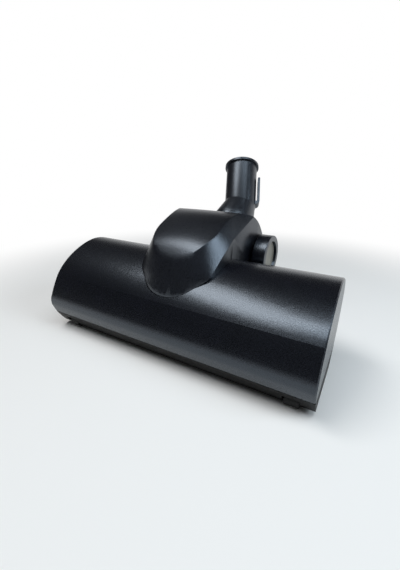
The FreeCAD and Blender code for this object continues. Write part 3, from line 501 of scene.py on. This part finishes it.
rubber = finish("rubber", (0.018, 0.018, 0.018), 0.75, 2000.0, 0.00003, gloss=0.3)
moulded("belt", "drive_belt", "head", rubber)
guard_black = finish("guard_black", (0.03, 0.03, 0.032), 0.45, 900.0, 0.00003, gloss=0.4)
moulded("guard", "belt_guard", "head", guard_black, edge=0.0002)


# Neck: black barrel that tilts between the cheeks, with the collar of the swivel and two round
# hubs pressed on its journals. A pale beige disc lies in the face of each hub; its colour is a
# painted reflection of the bright surroundings in the hub's recess.

neck_black = black_plastic("neck_black", roughness=0.3, depth=0.00003)
moulded("neck_barrel", "neck", "neck", neck_black, edge=0.0004)
painted_reflection_grey = finish("painted_reflection_grey", (0.2, 0.19, 0.16), 0.4, GRAIN, 0.00003, gloss=0.5)


def reflection_disc(name, centre, radius, thickness, body, material):
    """Flat round disc across the X axis, its faces outward."""
    mesh = bpy.data.meshes.new(name)
    form = bmesh.new()
    turn = Matrix.Translation(centre) @ Matrix.Rotation(math.radians(90), 4, "Y")
    bmesh.ops.create_cone(form, cap_ends=True, segments=64, radius1=radius, radius2=radius, depth=thickness,
                          matrix=turn)
    form.to_mesh(mesh)
    form.free()
    mesh.materials.append(material)
    disc = bpy.data.objects.new(name, mesh)
    bpy.context.scene.collection.objects.link(disc)
    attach(disc, body)


# The hub discs carry painted reflection: their pale colour stands in for the surroundings mirrored in the
# hub face.
DISC_INSET, DISC_MARGIN, DISC_THICKNESS = 0.0031, 0.0034, 0.0006
hub_black = black_plastic("hub_black", roughness=0.3, depth=0.00003)
for side in ("left", "right"):
    moulded("hub_" + side, "neck_hub_" + side, "neck", hub_black, edge=0.0005)
    low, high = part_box("neck_hub_" + side)
    outer = high[0] - DISC_INSET if side == "right" else low[0] + DISC_INSET
    centre = Vector((outer, (low[1] + high[1]) / 2, (low[2] + high[2]) / 2))
    radius = (high[2] - low[2]) / 2 - DISC_MARGIN
    reflection_disc("hub_inlay_" + side, centre, radius, DISC_THICKNESS, "neck", painted_reflection_grey)


# Elbow: the swivelling tube whose socket takes the wand, moulded in black plastic with its rim bead
# and parking hook. A white snap ring holds it in the neck's collar.

tube_black = black_plastic("tube_black", roughness=0.36, depth=0.00002)
moulded("elbow", "elbow_tube", "elbow", tube_black, edge=0.0004)
ring_white = finish("ring_white", (0.5, 0.5, 0.48), 0.4, 900.0, 0.00002, shift=0.05, gloss=0.4)
moulded("snap_ring", "swivel_ring", "elbow", ring_white, edge=0.0002)


# Wheels: two small rollers behind the front lip and two wheels under the neck, all in hard black
# plastic. They turn on steel pins in pockets of the base.

wheel_black = finish("wheel_black", (0.016, 0.016, 0.016), 0.5, GRAIN, 0.00004, gloss=0.25)
for side in ("left", "right"):
    front, back = "front_roller_" + side, "rear_wheel_" + side
    moulded("front_wheel_" + side, front, front, wheel_black, edge=0.0004)
    moulded("back_wheel_" + side, back, back, wheel_black, edge=0.0005)
    moulded("front_pin_" + side, "front_axle_" + side, "head", axle_steel, edge=0.0002)
    moulded("back_pin_" + side, "rear_axle_" + side, "head", axle_steel, edge=0.0002)


# Floor: one pale sheet of paper that fades into a white surround. Seen from below it is left out,
# so that the underside can be looked at.

def join(tree, kind, first, second):
    """Joins two values by one calculation, kept between 0 and 1."""
    step = tree.nodes.new("ShaderNodeMath")
    step.operation = kind
    step.use_clamp = True
    tree.links.new(first, step.inputs[0])
    tree.links.new(second, step.inputs[1])
    return step.outputs[0]


def ramp(tree, value, low, high):
    """Soft step that is 0 at low and 1 at high."""
    step = tree.nodes.new("ShaderNodeMapRange")
    step.interpolation_type = "SMOOTHSTEP"
    step.inputs["From Min"].default_value = min(low, high)
    step.inputs["From Max"].default_value = max(low, high)
    if low > high:
        step.inputs["To Min"].default_value = 1.0
        step.inputs["To Max"].default_value = 0.0
    tree.links.new(value, step.inputs["Value"])
    return step.outputs["Result"]


def stage_paper(clear_radius, fade_radius):
    """Pale paper that turns into plain white between the two radii."""
    paper = bpy.data.materials.new("stage_paper")
    paper.use_nodes = True
    tree = paper.node_tree
    shader = tree.nodes["Principled BSDF"]
    shader.inputs["Base Color"].default_value = PAPER
    shader.inputs["Roughness"].default_value = 0.9
    shader.inputs["Specular IOR Level"].default_value = 0.1
    path = tree.nodes.new("ShaderNodeLightPath")
    place = tree.nodes.new("ShaderNodeTexCoord")
    reach = tree.nodes.new("ShaderNodeVectorMath")
    reach.operation = "LENGTH"
    tree.links.new(place.outputs["Object"], reach.inputs[0])
    away = ramp(tree, reach.outputs["Value"], clear_radius, fade_radius)
    direct = join(tree, "MAXIMUM", path.outputs["Is Camera Ray"], path.outputs["Is Glossy Ray"])
    seen = join(tree, "MAXIMUM", direct, path.outputs["Is Transmission Ray"])
    white = tree.nodes.new("ShaderNodeEmission")
    white.inputs["Color"].default_value = WHITE
    surround = tree.nodes.new("ShaderNodeMixShader")
    tree.links.new(join(tree, "MULTIPLY", seen, away), surround.inputs["Fac"])
    tree.links.new(shader.outputs["BSDF"], surround.inputs[1])
    tree.links.new(white.outputs["Emission"], surround.inputs[2])

    side = tree.nodes.new("ShaderNodeNewGeometry")
    passed = join(tree, "ADD", side.outputs["Backfacing"], path.outputs["Transparent Depth"])
    clear = tree.nodes.new("ShaderNodeBsdfTransparent")
    sheet = tree.nodes.new("ShaderNodeMixShader")
    tree.links.new(passed, sheet.inputs["Fac"])
    tree.links.new(surround.outputs["Shader"], sheet.inputs[1])
    tree.links.new(clear.outputs["BSDF"], sheet.inputs[2])
    tree.links.new(sheet.outputs["Shader"], tree.nodes["Material Output"].inputs["Surface"])
    return paper


PAPER, WHITE = (0.9, 0.89, 0.87, 1), (1, 1, 1, 1)
CLEAR_RADIUS, FADE_RADIUS = 0.26, 0.55
FLOOR_HALF = 8.0
floor_mesh = bpy.data.meshes.new("floor")
corners = [(-FLOOR_HALF, -FLOOR_HALF, 0), (FLOOR_HALF, -FLOOR_HALF, 0), (FLOOR_HALF, FLOOR_HALF, 0),
           (-FLOOR_HALF, FLOOR_HALF, 0)]
floor_mesh.from_pydata(corners, [], [(0, 1, 2, 3)])
floor = bpy.data.objects.new("floor", floor_mesh)
bpy.context.scene.collection.objects.link(floor)
floor_mesh.materials.append(stage_paper(CLEAR_RADIUS, FADE_RADIUS))


# Room: a dim studio with a white backdrop behind the brush, where the camera looks. Mirrored rays
# meet that backdrop too, so that the surfaces turned to it shine.

ROOM_COLOUR, ROOM_LEVEL = (0.95, 0.97, 1.0, 1), 0.055
BACKDROP_START, BACKDROP_FULL = 0.45, 0.85
BACKDROP_TOP, BACKDROP_LOW = 0.6, 0.3
world = bpy.data.worlds.new("studio")
bpy.context.scene.world = world
world.use_nodes = True
sky = world.node_tree
room = sky.nodes["Background"]
room.inputs["Color"].default_value = ROOM_COLOUR
room.inputs["Strength"].default_value = ROOM_LEVEL
backdrop = sky.nodes.new("ShaderNodeBackground")
backdrop.inputs["Color"].default_value = WHITE
backdrop.inputs["Strength"].default_value = 1.0
path = sky.nodes.new("ShaderNodeLightPath")
way = sky.nodes.new("ShaderNodeSeparateXYZ")
place = sky.nodes.new("ShaderNodeTexCoord")
sky.links.new(place.outputs["Generated"], way.inputs["Vector"])
far = ramp(sky, way.outputs["Y"], BACKDROP_START, BACKDROP_FULL)
behind = join(sky, "MULTIPLY", far, ramp(sky, way.outputs["Z"], BACKDROP_TOP, BACKDROP_LOW))
mirrored = join(sky, "MAXIMUM", path.outputs["Is Glossy Ray"], path.outputs["Is Transmission Ray"])
seen = join(sky, "MAXIMUM", path.outputs["Is Camera Ray"], join(sky, "MULTIPLY", mirrored, behind))
pick = sky.nodes.new("ShaderNodeMixShader")
sky.links.new(seen, pick.inputs["Fac"])
sky.links.new(room.outputs["Background"], pick.inputs[1])
sky.links.new(backdrop.outputs["Background"], pick.inputs[2])
sky.links.new(pick.outputs["Shader"], sky.nodes["World Output"].inputs["Surface"])


# Lamps: two soft boxes above the front of the brush, one on each side, and a lower one on the
# right that stands for a window.

def soft_box(name, place, size, power, colour):
    """Flat lamp that faces the middle of the brush."""
    lamp = bpy.data.lights.new(name, "AREA")
    lamp.shape = "RECTANGLE"
    lamp.size, lamp.size_y = size
    lamp.energy = power
    lamp.color = colour
    lamp_object = bpy.data.objects.new(name, lamp)
    bpy.context.scene.collection.objects.link(lamp_object)
    lamp_object.location = place
    lamp_object.rotation_euler = (MIDDLE - Vector(place)).to_track_quat("-Z", "Y").to_euler()


MIDDLE = Vector((0.0, 0.0, 0.06))
soft_box("key_light", place=(-0.38, -0.37, 1.15), size=(0.85, 0.42), power=7.6, colour=(1.0, 1.0, 1.0))
soft_box("fill_light", place=(0.37, -0.32, 1.12), size=(1.1, 0.4), power=5.8, colour=(0.86, 0.94, 1.0))
soft_box("window", place=(1.0, 0.02, 0.64), size=(0.5, 0.45), power=4.9, colour=(0.8, 0.91, 1.0))


# Camera: it stands where the photograph was taken from, in front of the brush and to its right.

CAMERA_PLACE = (0.1633, CREASE_Y - 0.199, 0.1787)
CAMERA_DOWN, CAMERA_ROUND = math.radians(21.84), math.radians(31.23)
camera = bpy.data.cameras.new("camera")
camera.sensor_width = 36.0
camera.lens = 19.95
camera.clip_start = 0.01
camera_object = bpy.data.objects.new("camera", camera)
bpy.context.scene.collection.objects.link(camera_object)
camera_object.location = CAMERA_PLACE
camera_object.rotation_euler = (math.pi / 2 - CAMERA_DOWN, 0.0, CAMERA_ROUND)
bpy.context.scene.camera = camera_object
bpy.context.scene.view_settings.view_transform = "Standard"
